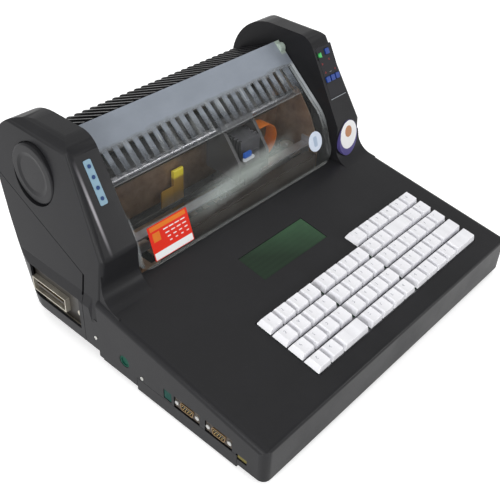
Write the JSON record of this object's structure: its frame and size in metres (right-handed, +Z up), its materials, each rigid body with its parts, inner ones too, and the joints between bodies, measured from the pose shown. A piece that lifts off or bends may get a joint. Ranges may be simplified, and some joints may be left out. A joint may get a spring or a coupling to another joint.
{
  "type": "ticket register",
  "caption": "Counter ticket register: sloping keyboard console with display, ticket printer under a clear hinged lid between two cheeks.",
  "frame": {"origin": "on the surface the unit stands on, under the middle of its outline", "axes": "+X to the unit's right, +Y towards its rear, +Z up"},
  "size_m": [0.402, 0.3699, 0.211],
  "materials": {
    "case_black": "fine moulded texture",
    "tray_black": "moulded",
    "foot_rubber": "soft",
    "screw_steel": "zinc plated",
    "clear_lid": "clear moulded plastic",
    "grille_frosted": "frosted clear plastic",
    "platen_rubber": "ground",
    "bright_steel": "ground and polished",
    "gear_nylon": "moulded",
    "motor_metal": "drawn can",
    "plate_steel": "zinc plated sheet",
    "chassis_steel": "yellow passivated",
    "carriage_plastic": "moulded",
    "head_alloy": "cast, blackened",
    "flex_orange": "polyimide film",
    "belt_rubber": "ribbed",
    "ribbon_brown": "moulded",
    "sensor_yellow": "moulded",
    "panel_film": "printed film",
    "led_green": "diffused lens",
    "strip_blue": "film",
    "button_blue": "moulded",
    "lcd_glass": "tinted",
    "circuit_green": "lacquered board",
    "key_white": "fine moulded texture",
    "supply_metal": "folded sheet",
    "port_metal": "tin plated",
    "socket_plastic": "moulded"
  },
  "bodies": {
    "case": {"base_tray": "tray_black", "upper_case": "case_black", "rear_case": "case_black", "feet": "foot_rubber", "case_screws": "screw_steel", "rear_paper_guide": "case_black", "feed_motor": "motor_metal", "left_side_plate": "plate_steel", "right_side_plate": "plate_steel", "chassis_plate": "chassis_steel", "guide_rod": "bright_steel", "guide_rail": "plate_steel", "timing_belt": "belt_rubber", "carriage_motor": "motor_metal", "ribbon_cartridge": "ribbon_brown", "paper_sensor": "sensor_yellow", "control_panel": "panel_film", "panel_led": "led_green", "indicator_strip": "strip_blue", "lcd_window": "lcd_glass", "lcd_module": "circuit_green", "keyboard_plate": "plate_steel", "keyboard_board": "circuit_green", "main_board": "circuit_green", "power_supply": "supply_metal", "parallel_port": "port_metal", "serial_ports": "port_metal", "side_sockets": "socket_plastic", "mains_inlet": "case_black", "power_switch": "case_black"},
    "lid": {"lid": "clear_lid", "lid_grille": "grille_frosted"},
    "carriage": {"carriage": "carriage_plastic", "print_head": "head_alloy", "flex_cable": "flex_orange"},
    "platen": {"platen_roller": "platen_rubber", "platen_shaft": "bright_steel", "platen_gear": "gear_nylon"},
    "feed_knob": {"feed_knob": "case_black"},
    "feed_pinion": {"feed_pinion": "gear_nylon"},
    "drive_pulley": {"drive_pulley": "bright_steel"},
    "idler_pulley": {"idler_pulley": "bright_steel"},
    "feed_button": {"feed_button": "button_blue"},
    "left_button": {"left_button": "button_blue"},
    "middle_button": {"middle_button": "button_blue"},
    "right_button": {"right_button": "button_blue"},
    "switch_rocker": {"switch_rocker": "case_black"},
    "keys_row1_block3": {"keys_row1_block3": "key_white"},
    "keys_row2_block1": {"keys_row2_block1": "key_white"},
    "keys_row2_block2": {"keys_row2_block2": "key_white"},
    "keys_row2_block3": {"keys_row2_block3": "key_white"},
    "keys_row3_block1": {"keys_row3_block1": "key_white"},
    "keys_row3_block2": {"keys_row3_block2": "key_white"},
    "keys_row3_block3": {"keys_row3_block3": "key_white"},
    "keys_row4_block1": {"keys_row4_block1": "key_white"},
    "keys_row4_block2": {"keys_row4_block2": "key_white"},
    "keys_row4_block3": {"keys_row4_block3": "key_white"},
    "keys_row5_block1": {"keys_row5_block1": "key_white"},
    "keys_row5_block2": {"keys_row5_block2": "key_white"},
    "keys_row5_block3": {"keys_row5_block3": "key_white"}
  },
  "joints": [
    {"name": "lid_hinge", "type": "hinge", "parent": "case", "child": "lid", "pos_m": [0, 0.1075, 0.189], "axis": [-1, 0, 0], "range_deg": [0, 75]},
    {"name": "carriage_slide", "type": "slide", "parent": "case", "child": "carriage", "axis": [1, 0, 0], "range_m": [-0.145, 0.037]},
    {"name": "platen_turn", "type": "hinge", "parent": "case", "child": "platen", "pos_m": [0, 0.117, 0.129], "axis": [1, 0, 0], "continuous": true},
    {"name": "knob_turn", "type": "hinge", "parent": "case", "child": "feed_knob", "pos_m": [-0.18, 0.117, 0.164], "axis": [1, 0, 0], "continuous": true},
    {"name": "pinion_turn", "type": "hinge", "parent": "case", "child": "feed_pinion", "pos_m": [-0.172, 0.117, 0.1015], "axis": [1, 0, 0], "continuous": true},
    {"name": "drive_pulley_turn", "type": "hinge", "parent": "case", "child": "drive_pulley", "pos_m": [-0.125, 0.071, 0.083], "axis": [0, 0, 1], "range_deg": [-1270, 340]},
    {"name": "idler_pulley_turn", "type": "hinge", "parent": "case", "child": "idler_pulley", "pos_m": [0.125, 0.071, 0.083], "axis": [0, 0, 1], "range_deg": [-1270, 340]},
    {"name": "feed_press", "type": "slide", "parent": "case", "child": "feed_button", "axis": [0, -0.8718, 0.4898], "range_m": [-0.001, 0], "stiffness_N_per_m": 400, "springref_m": 0.0005},
    {"name": "left_press", "type": "slide", "parent": "case", "child": "left_button", "axis": [0, -0.8718, 0.4898], "range_m": [-0.001, 0], "stiffness_N_per_m": 400, "springref_m": 0.0005},
    {"name": "middle_press", "type": "slide", "parent": "case", "child": "middle_button", "axis": [0, -0.8718, 0.4898], "range_m": [-0.001, 0], "stiffness_N_per_m": 400, "springref_m": 0.0005},
    {"name": "right_press", "type": "slide", "parent": "case", "child": "right_button", "axis": [0, -0.8718, 0.4898], "range_m": [-0.001, 0], "stiffness_N_per_m": 400, "springref_m": 0.0005},
    {"name": "rocker_tilt", "type": "hinge", "parent": "case", "child": "switch_rocker", "pos_m": [0.076, 0.15625, 0.04955], "axis": [-1, 0, 0], "range_deg": [0, 16]},
    {"name": "press_row1_block3", "type": "slide", "parent": "case", "child": "keys_row1_block3", "axis": [0, -0.1523, 0.9883], "range_m": [-0.0032, 0], "stiffness_N_per_m": 300, "springref_m": 0.001},
    {"name": "press_row2_block1", "type": "slide", "parent": "case", "child": "keys_row2_block1", "axis": [0, -0.1523, 0.9883], "range_m": [-0.0032, 0], "stiffness_N_per_m": 300, "springref_m": 0.001},
    {"name": "press_row2_block2", "type": "slide", "parent": "case", "child": "keys_row2_block2", "axis": [0, -0.1523, 0.9883], "range_m": [-0.0032, 0], "stiffness_N_per_m": 300, "springref_m": 0.001},
    {"name": "press_row2_block3", "type": "slide", "parent": "case", "child": "keys_row2_block3", "axis": [0, -0.1523, 0.9883], "range_m": [-0.0032, 0], "stiffness_N_per_m": 300, "springref_m": 0.001},
    {"name": "press_row3_block1", "type": "slide", "parent": "case", "child": "keys_row3_block1", "axis": [0, -0.1523, 0.9883], "range_m": [-0.0032, 0], "stiffness_N_per_m": 300, "springref_m": 0.001},
    {"name": "press_row3_block2", "type": "slide", "parent": "case", "child": "keys_row3_block2", "axis": [0, -0.1523, 0.9883], "range_m": [-0.0032, 0], "stiffness_N_per_m": 300, "springref_m": 0.001},
    {"name": "press_row3_block3", "type": "slide", "parent": "case", "child": "keys_row3_block3", "axis": [0, -0.1523, 0.9883], "range_m": [-0.0032, 0], "stiffness_N_per_m": 300, "springref_m": 0.001},
    {"name": "press_row4_block1", "type": "slide", "parent": "case", "child": "keys_row4_block1", "axis": [0, -0.1523, 0.9883], "range_m": [-0.0032, 0], "stiffness_N_per_m": 300, "springref_m": 0.001},
    {"name": "press_row4_block2", "type": "slide", "parent": "case", "child": "keys_row4_block2", "axis": [0, -0.1523, 0.9883], "range_m": [-0.0032, 0], "stiffness_N_per_m": 300, "springref_m": 0.001},
    {"name": "press_row4_block3", "type": "slide", "parent": "case", "child": "keys_row4_block3", "axis": [0, -0.1523, 0.9883], "range_m": [-0.0032, 0], "stiffness_N_per_m": 300, "springref_m": 0.001},
    {"name": "press_row5_block1", "type": "slide", "parent": "case", "child": "keys_row5_block1", "axis": [0, -0.1523, 0.9883], "range_m": [-0.0032, 0], "stiffness_N_per_m": 300, "springref_m": 0.001},
    {"name": "press_row5_block2", "type": "slide", "parent": "case", "child": "keys_row5_block2", "axis": [0, -0.1523, 0.9883], "range_m": [-0.0032, 0], "stiffness_N_per_m": 300, "springref_m": 0.001},
    {"name": "press_row5_block3", "type": "slide", "parent": "case", "child": "keys_row5_block3", "axis": [0, -0.1523, 0.9883], "range_m": [-0.0032, 0], "stiffness_N_per_m": 300, "springref_m": 0.001}
  ],
  "couplings": [
    {"joint": "knob_turn", "follows": "platen_turn", "ratio": -1.3333},
    {"joint": "pinion_turn", "follows": "platen_turn", "ratio": -2.6667},
    {"joint": "drive_pulley_turn", "follows": "carriage_slide", "rad_per_m": 150},
    {"joint": "idler_pulley_turn", "follows": "carriage_slide", "rad_per_m": 150}
  ]
}
